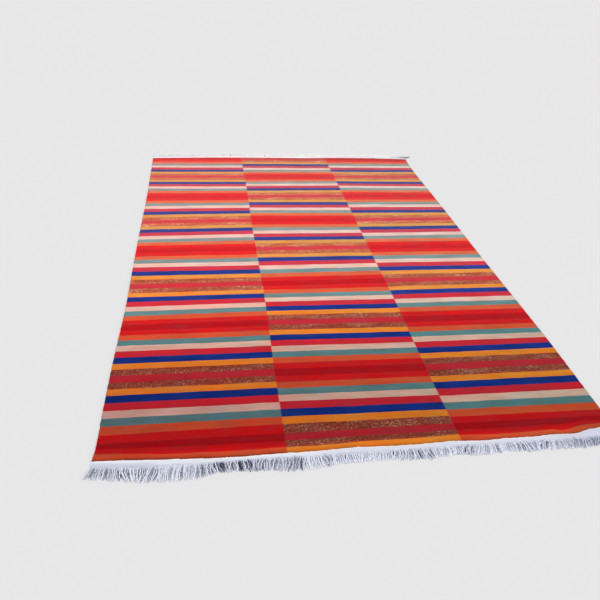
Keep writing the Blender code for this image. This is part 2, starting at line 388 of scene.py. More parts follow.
# Grey of the web: painted shade towards its strands, and random streaks
WEB_STREAK_AND_SHADE = (0.52, 0.54, 0.65)
WEB_GREY_TINT = (0.80, 0.80, 0.86)
# Painted highlight on the top of the web's seam ridge
SEAM_HIGHLIGHT = (0.90, 0.90, 0.91)
# Cord greys for dirt and painted shade; the near black one paints the dark gaps between strands
CORD_DUST_AND_SHADE = (0.44, 0.46, 0.58)
CORD_GRIME_AND_SHADE = (0.045, 0.050, 0.085)
FLOOR_SHADES = ((0.838, 0.830, 0.836), (0.848, 0.840, 0.846))

# Where an effect comes or goes: between two places along or across, or between two
# depths from an end of the cloth or from the strands of a web
# Span along over which the far half's painted haze comes in
FAR_HAZE_ALONG = (-0.72, 0.15)
CAST_ALONG = (-1.05, -0.75)
CAST_ACROSS = (-0.60, 0.60)
WORN_ALONG = (-1.345, -1.325)
# Depths and span across of the painted shade at the near end
NEAR_RIM_SHADE_DEPTH = (0.003, 0.019)
NEAR_RIM_SHADE_ACROSS = (-0.40, -0.15)
FAR_SOIL_DEPTH = (0.010, 0.070)
FAR_SOIL_ACROSS = (-0.50, 0.40)
# Depths from the strands over which the web's painted shade dies away
WEB_SHADE_DEPTH = (0.002, 0.0125)
# Heights over which the seam ridge's painted highlight comes in
SEAM_HIGHLIGHT_HEIGHTS = (0.0030, 0.0038)
GREY_CORNER_ACROSS = (-0.76, -0.70)
GREY_CORNER_DEPTH = (0.017, 0.023)
GREY_STEPS_ACROSS = ((-0.26, -0.14), (0.60, 0.70))
GREY_STEP = 0.45
GREY_ALONG = (-0.5, 0.5)

# The soft lights, each with the pieces that it lights
Lamp = namedtuple("Lamp", "name lit place aim size power colour")
LAMPS = (
    Lamp(
        "far_window", ("striped_cloth", "near_web"),
        (0.0, 0.60, 0.50), (0.0, 0.60, 0.0), (3.4, 2.6), 39.5, (1.0, 0.99, 0.97),
    ),
    Lamp(
        "near_fill", ("near_strands",),
        (0.0, -2.3, 0.8), (0.0, -1.42, 0.0), (3.0, 0.8), 17.5, (1.0, 1.0, 1.0),
    ),
    Lamp(
        "far_fill", ("far_web", "far_strands"),
        (0.0, 2.3, 0.8), (0.0, 1.42, 0.0), (3.0, 0.8), 30.0, (1.0, 0.83, 0.60),
    ),
)
SKY_STRENGTH = 0.96
FLOOR_SIZE = 90.0

# The camera, from the photo's perspective
CAMERA_PLACE = (-0.5306, -2.6489, 1.4919)
CAMERA_RIGHT = (0.98893, -0.13498, 0.06155)
CAMERA_UP = (0.02513, 0.56132, 0.82722)
CAMERA_BACK = (-0.14621, -0.81652, 0.55850)
CAMERA_LENS = 34.5
CAMERA_SENSOR = 36.0


def metres(name, description, default):
    """Setting for a length in metres."""
    return bpy.props.FloatProperty(
        name=name, description=description, default=default, unit="LENGTH"
    )


def dyed(name, description, default):
    """Setting for the colour of a yarn."""
    return bpy.props.FloatVectorProperty(
        name=name, description=description, default=default, subtype="COLOR", min=0.0, max=1.0
    )


class ClothSizes(bpy.types.PropertyGroup):
    """Sizes of the woven cloth and its webs."""

    warp_pitch: metres("Warp Pitch", "Distance between two warps", 0.0042)
    weft_pitch: metres("Weft Pitch", "Distance between two wefts", 0.0017)
    waviness: metres("Waviness", "Height of the cloth's slow waves", 0.0007)
    stripe_rise: metres("Stripe Rise", "Rise of each stripe's middle", 0.00025)
    selvedge_rise: metres("Selvedge Rise", "Rise of the corded side edges", 0.0009)
    join_rise: metres("Join Rise", "Rise of the ridge between lanes", 0.0005)
    edge_bite: metres("Edge Bite", "Depth of the notch between stripes", 0.0016)
    web_rib: metres("Web Rib", "Width of one rib of the web", 0.0042)


class FringeSizes(bpy.types.PropertyGroup):
    """Sizes of the twisted strands."""

    strands_per_lock: bpy.props.IntProperty(
        name="Strands per Lock", description="Twisted strands in one lock", default=6, min=3
    )
    thickness: metres("Thickness", "Full thickness of a strand", 0.0043)
    twist_length: metres("Twist Length", "Length of one full twist", 0.028)
    drag: metres("Drag", "Sideways drag of the strands at the right", 0.016)
    tangle: metres("Tangle", "Spread of the strands' tips", 0.0042)


class YarnColours(bpy.types.PropertyGroup):
    """Colours of the dyed yarns and of the bleached cotton."""

    dark_red: dyed("Dark Red", "Dye of the darkest stripe", (0.265, 0.0008, 0.004))
    red: dyed("Red", "Dye of the red stripes", (0.39, 0.0035, 0.0055))
    orange: dyed("Orange", "Dye of the orange stripes", (0.40, 0.051, 0.018))
    teal: dyed("Teal", "Dye of the teal stripes", (0.062, 0.136, 0.143))
    cream: dyed("Cream", "Dye of the cream stripes", (0.435, 0.262, 0.208))
    crimson: dyed("Crimson", "Dye of the crimson stripes", (0.365, 0.0100, 0.0195))
    blue: dyed("Blue", "Dye of the blue stripes", (0.0006, 0.0155, 0.132))
    gold: dyed("Gold", "Dye of the gold stripes", (0.51, 0.142, 0.013))
    brown: dyed("Brown", "Ground of the flecked stripes", (0.172, 0.0285, 0.0150))
    rose: dyed("Rose", "Dye of the rose stripe", (0.315, 0.0110, 0.019))
    cotton: dyed("Cotton", "Bleached cotton of webs and fringes", (0.8, 0.82, 0.89))


def lerp(low, high, share):
    """Value at a share of the way from low to high."""
    return low + (high - low) * share


def table_slope(rows, index, column):
    """Slope of one column at a row, from the rows on either side of it."""
    before = rows[max(index - 1, 0)]
    after = rows[min(index + 1, len(rows) - 1)]
    return (getattr(after, column) - getattr(before, column)) / (after[0] - before[0])


def table_value(rows, place, column):
    """Value of one column at a place, on a smooth curve through the table's rows."""
    index = 0
    while index < len(rows) - 2 and rows[index + 1][0] < place:
        index += 1
    first = rows[index]
    second = rows[index + 1]
    span = second[0] - first[0]
    t = min(max((place - first[0]) / span, 0.0), 1.0)
    start_slope = table_slope(rows, index, column) * span
    finish_slope = table_slope(rows, index + 1, column) * span
    return (
        getattr(first, column) * (1 + 2 * t) * (1 - t) ** 2
        + start_slope * t * (1 - t) ** 2
        + getattr(second, column) * t * t * (3 - 2 * t)
        - finish_slope * t * t * (1 - t)
    )


def lane_lines(along):
    """X of the left edge, the two lane joins and the right edge at a share along."""
    sways = [table_value(LINES, along, column) for column in Lines._fields[1:]]
    return [MIDDLE_X + WIDTH * (line / LANES - 0.5) + sway for line, sway in enumerate(sways)]


def lane_of(across):
    """Number of the lane that a share across lies in."""
    return min(int(across * LANES), LANES - 1)


def x_between(lines, across):
    """X of a share across the cloth, from the X of its edges and lane joins."""
    lane = lane_of(across)
    return lerp(lines[lane], lines[lane + 1], across * LANES - lane)


def end_lines(fringe):
    """X of the left edge, the two lane joins and the right edge at one end."""
    return lane_lines(0.0 if fringe.side < 0 else 1.0)


def fringe_line_y(fringe, across):
    """Y of the line where the web stops and the fringe starts."""
    return fringe.side * (HALF_LENGTH - table_value(fringe.end, across, "set_back"))


def cloth_end_y(fringe, across):
    """Y of the woven cloth's end edge, with the small steps of its last wefts."""
    web = table_value(fringe.end, across, "web") + end_ripple(across, fringe.side)
    return fringe_line_y(fringe, across) - fringe.side * web


def end_ripple(across, side):
    """Small unevenness of the line between the cloth and the web."""
    place = across * WIDTH
    steps = abs(wander(place * 150.0, 9.0 * side, 3.0))
    return RIPPLE_REACH * (wander(place * 38.0, 5.0 * side, 0.0) + 2.2 * steps)


def fill_gaps(marks, longest):
    """The marks, with even steps between any two that lie further apart than longest."""
    places = [marks[0]]
    for mark in marks[1:]:
        start = places[-1]
        count = math.ceil((mark - start) / longest)
        places += [lerp(start, mark, (step + 1) / count) for step in range(count)]
    return places


def rim_to_rim(length, longest, inner_marks=()):
    """Places from one rim to the other: close at the rims and at the marks between them."""
    far_rim = [length - mark for mark in reversed(RIM_MARKS)]
    return fill_gaps([*RIM_MARKS, *inner_marks, *far_rim], longest)


def rim_rise(distance, depth, rim_height):
    """Share of the full height near an edge that is rounded over a depth."""
    t = min(distance / depth, 1.0)
    return lerp(rim_height, 1.0, math.sqrt(1 - (1 - t) ** 2))


def wander(x, y, z):
    """Smooth noise, to both sides of 0."""
    return noise.noise(Vector((x, y, z)))


def wave(turns, phase=0.0):
    """Even wave between -1 and 1, after a number of turns."""
    return math.sin(2 * math.pi * turns + phase)


def hump(share):
    """Rounded rise from 0 to 1 and back, between two whole shares."""
    return math.sin(math.pi * share)


def bell(distance, spread):
    """Bell-shaped rise round a line."""
    return math.exp(-((distance / spread) ** 2))


def stripe_phase(v):
    """How far across its stripe a place lies, from 0 at one edge to 1 at the other."""
    t = v % (2 * HALF_REPEAT)
    t = min(t, 2 * HALF_REPEAT - t)
    stripe = bisect_left(STRIPE_ENDS, t)
    phase = (t - STRIPE_STARTS[stripe]) / STRIPES[stripe].width
    if stripe == 0:
        return 0.5 + phase / 2
    if stripe == len(STRIPES) - 1:
        return phase / 2
    return phase


def pattern_v(lane, lane_share, y):
    """Place along the even pattern of a point of one lane, from the drift of its wefts."""
    left = table_value(DRIFTS, y, f"left_{lane + 1}")
    right = table_value(DRIFTS, y, f"right_{lane + 1}")
    full, none = BOWED_Y
    bowed = min(max((none - y) / (none - full), 0.0), 1.0)
    bow = 0.0
    if bowed > 0.0:
        bow = bowed * table_value(NEAR_BOW, (lane + lane_share) / LANES, "shift")
    return y - FIRST_DARK_RED_Y - lerp(left, right, lane_share) - bow


def deselect_all():
    """Clear the selection, which the loaded frame fills."""
    bpy.ops.object.select_all(action="DESELECT")


def sheet_faces(rows, columns):
    """Faces of a closed sheet, as corners (row, column, level); level 1 is underneath."""
    faces = []
    for row in range(rows - 1):
        for column in range(columns - 1):
            ring = ((row, column), (row, column + 1), (row + 1, column + 1), (row + 1, column))
            faces.append([(*corner, 0) for corner in ring])
            faces.append([(*corner, 1) for corner in reversed(ring)])
    last_row = rows - 1
    last_column = columns - 1
    rim = [(0, column) for column in range(last_column)]
    rim += [(row, last_column) for row in range(last_row)]
    rim += [(last_row, column) for column in range(last_column, 0, -1)]
    rim += [(row, 0) for row in range(last_row, 0, -1)]
    for first, second in zip(rim, rim[1:] + rim[:1]):
        faces.append([(*first, 1), (*second, 1), (*second, 0), (*first, 0)])
    return faces


def make_sheet(name, top, flat_place, material):
    """Closed sheet with the given top points, a flat underside and its flat places as UV.

    top is an array of rows and columns of points. flat_place(row, column, middle_column)
    gives the place on the flat cloth of a corner of the face with that middle column.
    """
    rows, columns = top.shape[:2]
    under = top.copy()
    under[:, :, 2] = 0.0
    points = np.concatenate([top.reshape(-1, 3), under.reshape(-1, 3)])
    corners = sheet_faces(rows, columns)
    faces = [[(level * rows + r) * columns + c for r, c, level in face] for face in corners]
    data = bpy.data.meshes.new(name)
    data.from_pydata(points.tolist(), [], faces)
    layer = data.uv_layers.new(name="cloth")
    places = []
    for face in corners:
        middle = sum(c for r, c, level in face) / len(face)
        for r, c, level in face:
            places.extend(flat_place(r, c, middle))
    layer.data.foreach_set("uv", places)
    return finish_piece(data, material)


def finish_piece(data, material):
    """Piece with a mesh and its material, smooth up to a sharp angle."""
    data.update()
    piece = bpy.data.objects.new(data.name, data)
    bpy.context.scene.collection.objects.link(piece)
    deselect_all()
    piece.select_set(True)
    bpy.context.view_layer.objects.active = piece
    bpy.ops.object.shade_smooth_by_angle(angle=math.radians(50))
    data.materials.append(material)
    return piece


def mount_piece(piece, node):
    """Let a piece ride on the rug's body and stand for its node, which it hides."""
    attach(piece, "root")
    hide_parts(node)


def feed(socket, value):
    """Link a socket to an output, or set it to a plain value or an opaque colour."""
    if isinstance(value, bpy.types.NodeSocket):
        socket.id_data.links.new(value, socket)
    elif socket.type == "RGBA":
        socket.default_value = (*value, 1.0)
    else:
        socket.default_value = value


def add_node(tree, kind, inputs, **options):
    """Add a node with its options set and its inputs fed by name or number."""
    node = tree.nodes.new(kind)
    for option, value in options.items():
        setattr(node, option, value)
    for key, value in inputs.items():
        feed(node.inputs[key], value)
    return node


def next_node(kind, inputs, **options):
    """Add a node to the tree that its inputs come from."""
    sources = (value for value in inputs.values() if isinstance(value, bpy.types.NodeSocket))
    return add_node(next(sources).id_data, kind, inputs, **options)


def calc(operation, *values):
    """Output of a Math node."""
    return next_node("ShaderNodeMath", dict(enumerate(values)), operation=operation).outputs[0]


def split(vector):
    """X, Y and Z outputs of a vector."""
    return next_node("ShaderNodeSeparateXYZ", {0: vector}).outputs


def join(x, y, z=0.0):
    """Vector output made of three values."""
    return next_node("ShaderNodeCombineXYZ", {0: x, 1: y, 2: z}).outputs[0]


def shift(vector, distance, operation="ADD"):
    """The vector with a distance added, or with another operation done on both."""
    inputs = {0: vector, 1: distance}
    return next_node("ShaderNodeVectorMath", inputs, operation=operation).outputs[0]


def stretch(vector, scale):
    """The vector with each part multiplied by its own scale."""
    return shift(vector, scale, "MULTIPLY")


def speckle(vector, scale, detail=2.0, roughness=0.5):
    """Smooth noise from 0 to 1 at a vector."""
    inputs = {"Vector": vector, "Scale": scale, "Detail": detail, "Roughness": roughness}
    return next_node("ShaderNodeTexNoise", inputs).outputs["Fac"]


def remap(value, low, high, new_low=0.0, new_high=1.0):
    """Value moved from one range into another, and kept inside it."""
    inputs = {0: value, 1: low, 2: high, 3: new_low, 4: new_high}
    return next_node("ShaderNodeMapRange", inputs).outputs[0]


def blend_colours(factor, first, second, kind="MIX"):
    """Colour between, or combined from, two colours."""
    inputs = {0: factor, 6: first, 7: second}
    return next_node("ShaderNodeMix", inputs, data_type="RGBA", blend_type=kind).outputs[2]


def tinted(colour, tint, share=1.0):
    """Colour multiplied by a tint, in full or by a share."""
    return blend_colours(share, colour, tint, "MULTIPLY")


def between(value, low, high):
    """1 where the value lies between two others, and 0 elsewhere."""
    above = calc("GREATER_THAN", value, low)
    return calc("MULTIPLY", above, calc("LESS_THAN", value, high))


def object_place(tree):
    """Place on the piece, in metres."""
    return add_node(tree, "ShaderNodeTexCoord", {}).outputs["Object"]


def uv_place(tree, name):
    """Place on a UV map, which is in metres along the flat cloth or the strand."""
    return add_node(tree, "ShaderNodeUVMap", {}, uv_map=name).outputs[0]


def point_value(tree, name):
    """Value that the mesh keeps for each of its points."""
    return add_node(tree, "ShaderNodeAttribute", {}, attribute_name=name).outputs["Fac"]


def paint_ramp(factor, shares, colours):
    """Colour whose share, at which it starts, is the last that the factor has passed."""
    node = next_node("ShaderNodeValToRGB", {0: factor})
    ramp = node.color_ramp
    ramp.interpolation = "CONSTANT"
    while len(ramp.elements) < len(shares):
        ramp.elements.new(1.0)
    for element, share, colour in zip(ramp.elements, shares, colours):
        element.position = share
        element.color = (*colour, 1.0)
    return node.outputs[0]


def woven_yarn_group():
    """Weft-faced weave of unevenly dyed yarn, at a place on the cloth.

    It gives the height of the weave's bumps, a value for each weft, and the dye's streaks
    along the wefts, its two sets of patches and its slubs, all from 0 to 1.
    """
    group = bpy.data.node_groups.new("woven_yarn", "ShaderNodeTree")
    sockets = group.interface
    sockets.new_socket("Place", in_out="INPUT", socket_type="NodeSocketVector")
    for label in ("Warp Pitch", "Weft Pitch"):
        sockets.new_socket(label, in_out="INPUT", socket_type="NodeSocketFloat")
    for label in ("Height", "Weft Value", "Streak", "Patch", "Cast", "Slub"):
        sockets.new_socket(label, in_out="OUTPUT", socket_type="NodeSocketFloat")
    entry = group.nodes.new("NodeGroupInput").outputs
    leave = group.nodes.new("NodeGroupOutput").inputs
    place = entry["Place"]

    u, v = split(place)[:2]
    sway = calc("SUBTRACT", speckle(place, 55.0), 0.5)
    warp_count = calc("DIVIDE", u, entry["Warp Pitch"])
    weft_count = calc("ADD", calc("DIVIDE", v, entry["Weft Pitch"]), sway)
    warp_wave = calc("SINE", calc("MULTIPLY", warp_count, math.pi))
    weft_wave = calc("SINE", calc("MULTIPLY", weft_count, math.pi))
    bumps = calc("MULTIPLY", warp_wave, weft_wave)
    rib = calc("MULTIPLY", calc("ABSOLUTE", warp_wave), 0.35)
    feed(leave["Height"], calc("MULTIPLY_ADD", bumps, 0.5, rib))
    weft = calc("FLOOR", weft_count)
    weft_value = next_node("ShaderNodeTexWhiteNoise", {"W": weft}, noise_dimensions="1D")
    feed(leave["Weft Value"], weft_value.outputs["Value"])

    moved = shift(place, (7.3, 4.1, 0.0))
    for label, start, scale, detail, roughness, low, high in (
        ("Streak", place, (4.0, 210.0, 1.0), 3.0, 0.6, 0.25, 0.75),
        ("Patch", place, (6.5, 24.0, 1.0), 3.0, 0.55, 0.36, 0.64),
        ("Cast", moved, (8.0, 26.0, 1.0), 2.0, 0.5, 0.34, 0.66),
        ("Slub", moved, (95.0, 300.0, 1.0), 1.0, 0.5, 0.25, 0.75),
    ):
        shade = speckle(stretch(start, scale), 1.0, detail, roughness)
        feed(leave[label], remap(shade, low, high))
    return group


def woven_yarn(place, warp_pitch, weft_pitch):
    """Outputs of the shared group of woven yarn, placed in a material."""
    node = place.id_data.nodes.new("ShaderNodeGroup")
    node.node_tree = bpy.data.node_groups.get("woven_yarn") or woven_yarn_group()
    feed(node.inputs["Place"], place)
    feed(node.inputs["Warp Pitch"], warp_pitch)
    feed(node.inputs["Weft Pitch"], weft_pitch)
    return node.outputs


def fresh_material(name, roughness, sheen, sheen_tint):
    """Material, its tree and its shader's inputs, with the plain values set on them."""
    material = bpy.data.materials.new(name)
    material.use_nodes = True
    tree = material.node_tree
    inputs = tree.nodes["Principled BSDF"].inputs
    inputs["Roughness"].default_value = roughness
    inputs["Specular IOR Level"].default_value = 0.03
    inputs["Sheen Weight"].default_value = sheen
    inputs["Sheen Roughness"].default_value = 0.22
    inputs["Sheen Tint"].default_value = (*sheen_tint, 1.0)
    return material, tree, inputs


def bump_normal(height, strength, distance):
    """Normal output of a Bump node."""
    inputs = {"Strength": strength, "Distance": distance, "Height": height}
    return next_node("ShaderNodeBump", inputs).outputs[0]


def dyed_stripes(place, wobble, cast, colours, sizes):
    """Colour of the wool in its pattern: at full strength, and with the painted haze of the far
    half.
    """
    u, v = split(place)[:2]
    v = calc("MULTIPLY_ADD", wobble, LINE_WOBBLE, v)
    tooth = calc("PINGPONG", v, JOIN_TOOTH)
    u = calc("ADD", u, calc("SUBTRACT", tooth, JOIN_TOOTH / 2))
    in_middle = between(u, WIDTH / LANES, WIDTH * 2 / LANES)
    v = calc("MULTIPLY_ADD", in_middle, HALF_REPEAT, v)
    t = calc("PINGPONG", v, HALF_REPEAT)
    factor = calc("DIVIDE", t, HALF_REPEAT)

    shares = [start / HALF_REPEAT for start in STRIPE_STARTS]
    dyes = [getattr(colours, stripe.yarn) for stripe in STRIPES]
    wool = paint_ramp(factor, shares, dyes)

    warp = calc("FLOOR", calc("DIVIDE", u, sizes.warp_pitch))
    weft = calc("FLOOR", calc("DIVIDE", v, sizes.weft_pitch))
    cell = {"Vector": join(warp, weft)}
    fleck = next_node("ShaderNodeTexWhiteNoise", cell, noise_dimensions="2D")
    chance = calc("MULTIPLY_ADD", cast, FLECK_DRIFT, fleck.outputs["Value"])
    chance = calc("DIVIDE", chance, 1 + FLECK_DRIFT)
    brown = paint_ramp(chance, FLECK_SHARES, (DARK_FLECK, colours.brown, *PALE_FLECKS))
    in_brown = between(t, STRIPE_STARTS[-2], STRIPE_STARTS[-1])
    wool = blend_colours(in_brown, wool, brown)
    far_hazes = [stripe.fade for stripe in STRIPES]
    return wool, tinted(wool, paint_ramp(factor, shares, far_hazes))


def uneven_dye(wool, yarn):
    """The wool with lighter and darker streaks, and with warmer and cooler patches."""
    shade = 0.0
    for label, share in SHADE_SHARES:
        shade = calc("MULTIPLY_ADD", yarn[label], share, shade)
    wool = tinted(wool, blend_colours(shade, *SHADE_TINTS))
    return tinted(wool, blend_colours(yarn["Cast"], *PATCH_TINTS))


def side_casts(wool, across, along):
    """The wool with its change of colour from left to right, other at the near end."""
    to_right = remap(across, *CAST_ACROSS)
    near_cast = blend_colours(to_right, *NEAR_CASTS)
    far_cast = blend_colours(to_right, *FAR_CASTS)
    cast = blend_colours(remap(along, *CAST_ALONG), near_cast, far_cast)
    return tinted(wool, cast)


def end_wear_and_shade(wool, wobble, from_end, across, along):
    """The wool with paler last wefts at the near end, painted shade along the near end's rim, and
    soiling towards the far web.
    """
    wool = tinted(wool, WORN_TINT, remap(along, *WORN_ALONG, 1.0, 0.0))
    # Painted shade along the near end's rim
    rim_shade_and_soil = calc("MULTIPLY_ADD", wobble, 0.008, from_end)
    rim_shade_and_soil = calc("POWER", remap(rim_shade_and_soil, *NEAR_RIM_SHADE_DEPTH, 1.0, 0.0), 1.6)
    rim_shade_and_soil = calc("MULTIPLY", rim_shade_and_soil, remap(across, *NEAR_RIM_SHADE_ACROSS, 1.0, 0.55))
    wool = tinted(wool, NEAR_RIM_SHADE_TINT, rim_shade_and_soil)
    # Soiling towards the far web
    from_end = calc("SUBTRACT", ROWS_LENGTH, from_end)
    rim_shade_and_soil = remap(from_end, *FAR_SOIL_DEPTH, 1.0, 0.0)
    rim_shade_and_soil = calc("MULTIPLY", rim_shade_and_soil, remap(across, *FAR_SOIL_ACROSS, 0.20, 1.0))
    return tinted(wool, FAR_SOIL_TINT, rim_shade_and_soil)


def striped_wool(colours, sizes):
    """Weft-faced wool in three lanes of cross stripes, with uneven dye and flecked browns."""
    material, tree, inputs = fresh_material("striped_wool", 0.9, 0.50, (1.0, 0.82, 0.76))
    place = uv_place(tree, "cloth")
    across, along = split(object_place(tree))[:2]
    yarn = woven_yarn(place, sizes.warp_pitch, sizes.weft_pitch)
    wobble = speckle(stretch(place, (14.0, 5.0, 1.0)), 1.0)
    wobble = calc("SUBTRACT", wobble, 0.5)

    strong, hazed = dyed_stripes(place, wobble, yarn["Cast"], colours, sizes)
    # Painted haze in the far half
    wool = blend_colours(remap(along, *FAR_HAZE_ALONG), strong, hazed)
    wool = uneven_dye(wool, yarn)
    wool = side_casts(wool, across, along)
    bloom = calc("MULTIPLY", yarn["Cast"], calc("SUBTRACT", 1.2, yarn["Patch"]))
    wool = blend_colours(calc("MULTIPLY", bloom, BLOOM_SHARE), wool, BLOOM)
    wool = end_wear_and_shade(wool, wobble, point_value(tree, "from_near_end"), across, along)
    feed(inputs["Base Color"], wool)
    feed(inputs["Roughness"], remap(yarn["Streak"], 0.0, 1.0, 0.84, 0.96))
    feed(inputs["Normal"], bump_normal(yarn["Height"], 0.55, 0.0009))
    return material


def web_cotton(colours, sizes):
    """Bleached cotton web of thick wefts, greyed by painted shade towards its strands and by
    random streaks, with a painted highlight on its seam ridge.
    """
    material, tree, inputs = fresh_material("web_cotton", 0.85, 0.10, (1.0, 1.0, 1.0))
    place = uv_place(tree, "cloth")
    from_strands = split(place)[1]
    across, along, height = split(object_place(tree))
    yarn = woven_yarn(place, sizes.warp_pitch / 2, sizes.weft_pitch)
    # Painted shade of the web towards its strands, with random grey streaks
    edge = remap(from_strands, *WEB_SHADE_DEPTH, 1.0, 0.0)
    shade = calc("MULTIPLY", edge, remap(yarn["Patch"], 0.1, 0.9, 0.35, 1.0))
    shade = calc("MULTIPLY_ADD", yarn["Streak"], 0.3, shade)
    cotton = blend_colours(shade, colours.cotton, WEB_STREAK_AND_SHADE)
    # Painted highlight on the top of the seam ridge
    cotton = blend_colours(remap(height, *SEAM_HIGHLIGHT_HEIGHTS), cotton, SEAM_HIGHLIGHT)

    corner = remap(across, *GREY_CORNER_ACROSS, 1.0, 0.0)
    by_strands = remap(from_strands, *GREY_CORNER_DEPTH, 1.0, 0.0)
    greyed = calc("MULTIPLY", corner, by_strands)
    for step in GREY_STEPS_ACROSS:
        greyed = calc("ADD", greyed, remap(across, *step, 0.0, GREY_STEP))
    greyed = calc("MULTIPLY", greyed, remap(along, *GREY_ALONG, 1.0, 0.0))
    feed(inputs["Base Color"], tinted(cotton, WEB_GREY_TINT, greyed))
    feed(inputs["Normal"], bump_normal(yarn["Height"], 0.4, 0.0006))
    return material


def cord_cotton(colours):
    """Twisted cotton strands, greyed by dirt and painted shade, near black where painted shade
    marks the gaps between them.
    """
    material, tree, inputs = fresh_material("cord_cotton", 0.85, 0.10, (1.0, 1.0, 1.0))
    blotch = calc("SUBTRACT", speckle(object_place(tree), 140.0, 3.0, 0.6), 0.5)
    # Dirt and painted shade at each point of a strand, with random blotches
    dust = calc("MULTIPLY_ADD", blotch, 0.3, point_value(tree, "strand_dust"))
    cotton = blend_colours(remap(dust, 0.0, 0.5), colours.cotton, CORD_DUST_AND_SHADE)
    cotton = blend_colours(remap(dust, 0.4, 1.0), cotton, CORD_GRIME_AND_SHADE)
    feed(inputs["Base Color"], cotton)
    around, along = split(uv_place(tree, "strand"))[:2]
    slant = calc("MULTIPLY_ADD", around, 2.0, calc("MULTIPLY", along, PLIES_PER_METRE))
    ply = calc("SINE", calc("MULTIPLY", slant, math.pi))
    feed(inputs["Normal"], bump_normal(ply, 0.3, 0.0004))
    return material


def cloth_height(u, end_distance, v, sizes):
    """Height of the cloth's top at a place of the flat cloth."""
    side = min(u, WIDTH - u)
    rise = sizes.selvedge_rise * bell(side - CORD_INSET, CORD_SPREAD)
    for join_line in (WIDTH / LANES, WIDTH * 2 / LANES):
        rise += sizes.join_rise * bell(u - join_line, JOIN_SPREAD)
    rise += sizes.stripe_rise * hump(stripe_phase(v))
    slow = wander(u * 3.1, v * 2.6, 0.0)
    quick = wander(u * 9.0, v * 7.0, 4.0)
    rise += sizes.waviness * (slow + 0.35 * quick)
    rim = min(rim_rise(side, *SIDE_RIM), rim_rise(end_distance, *END_RIM))
    return (CLOTH_TOP - CLOTH_ROOM + rise) * rim


def web_height(u, y, inner, outer, sizes):
    """Height of a web's top between its seam with the cloth and its outer edge."""
    relief = abs(hump(abs(y - outer) / sizes.web_rib)) + wander(u * 7.0, y * 9.0, 2.0)
    ridge = (CLOTH_TOP - WEB_TOP) * bell(abs(y - inner) - SEAM_RIDGE_INSET, SEAM_RIDGE_SPREAD)
    rim = min(
        rim_rise(abs(y - inner), *SEAM_RIM),
        rim_rise(abs(y - outer), *OUTER_RIM),
        rim_rise(min(u, WIDTH - u), *WEB_SIDE_RIM),
    )
    return (WEB_TOP - WEB_ROOM + WEB_RELIEF * relief + ridge) * rim


class RUG_OT_weave_cloth(bpy.types.Operator):
    """Weave the striped cloth in its three lanes."""

    bl_idname = "rug.weave_cloth"
    bl_label = "Weave Cloth"

    def execute(self, context):
        sizes = context.scene.rug_cloth
        joins = [WIDTH * line / LANES + mark for line in (1, 2) for mark in JOIN_MARKS]
        columns = rim_to_rim(WIDTH, COLUMN_STEP, joins)
        rows = rim_to_rim(ROWS_LENGTH, ROW_STEP)
        near, far = [[cloth_end_y(fringe, u / WIDTH) for u in columns] for fringe in FRINGES]
        top = np.zeros((len(rows), len(columns), 3))
        flat = np.zeros((LANES, len(rows), len(columns)))
        for r, place in enumerate(rows):
            share = place / ROWS_LENGTH
            lines = lane_lines(share)
            end_distance = min(place, ROWS_LENGTH - place)
            for c, u in enumerate(columns):
                y = lerp(near[c], far[c], share)
                lane = lane_of(u / WIDTH)
                for each in range(LANES):
                    flat[each, r, c] = pattern_v(each, u / WIDTH * LANES - each, y)
                v = flat[lane, r, c]
                bite = sizes.edge_bite * (1 - hump(stripe_phase(v)) ** 0.5)
                uneven = SIDE_UNEVENNESS * wander(v * 30.0, u, 7.0)
                x = x_between(lines, u / WIDTH)
                x += (bite + uneven) * bell(u, BITE_SPREAD)
                x -= (bite - uneven) * bell(WIDTH - u, BITE_SPREAD)
                top[r, c] = (x, y, cloth_height(u, end_distance, v, sizes))

        def flat_place(row, column, middle_column):
            lane = lane_of(columns[int(middle_column)] / WIDTH + ROUNDING_SLACK)
            return columns[column], flat[lane, row, column]

        material = striped_wool(context.scene.rug_yarns, sizes)
        cloth = make_sheet("striped_cloth", top, flat_place, material)
        from_end = np.repeat(rows, len(columns))
        attribute = cloth.data.attributes.new("from_near_end", "FLOAT", "POINT")
        attribute.data.foreach_set("value", np.tile(from_end, 2))
        mount_piece(cloth, "woven_field")
        return {"FINISHED"}


class RUG_OT_weave_webs(bpy.types.Operator):
    """Weave the white web at each end."""

    bl_idname = "rug.weave_webs"
    bl_label = "Weave Webs"

    def execute(self, context):
        sizes = context.scene.rug_cloth
        material = web_cotton(context.scene.rug_yarns, sizes)
        columns = rim_to_rim(WIDTH, WEB_COLUMN_STEP)
        for fringe in FRINGES:
            side = fringe.side
            lines = end_lines(fringe)
            top = np.zeros((WEB_ROWS + 1, len(columns), 3))
            strand_lines = []
            for c, u in enumerate(columns):
                across = u / WIDTH
                x = x_between(lines, across)
                inner = cloth_end_y(fringe, across) + side * PIECE_GAP
                outer = fringe_line_y(fringe, across)
                strand_lines.append(outer)
                outer -= side * WEB_SCALLOP * abs(hump(LOCKS_PER_END * across))
                outer -= side * WEB_FRAY * wander(u * 62.0, 11.0 * side, 5.0)
                for r in range(WEB_ROWS + 1):
                    share = r / WEB_ROWS if side > 0 else 1 - r / WEB_ROWS
                    y = lerp(inner, outer, share)
                    top[r, c] = (x, y, web_height(u, y, inner, outer, sizes))

            def flat_place(row, column, middle_column):
                return columns[column], abs(float(top[row, column, 1]) - strand_lines[column])

            web = make_sheet(f"{fringe.name}_web", top, flat_place, material)
            mount_piece(web, f"{fringe.name}_fringe")
        return {"FINISHED"}


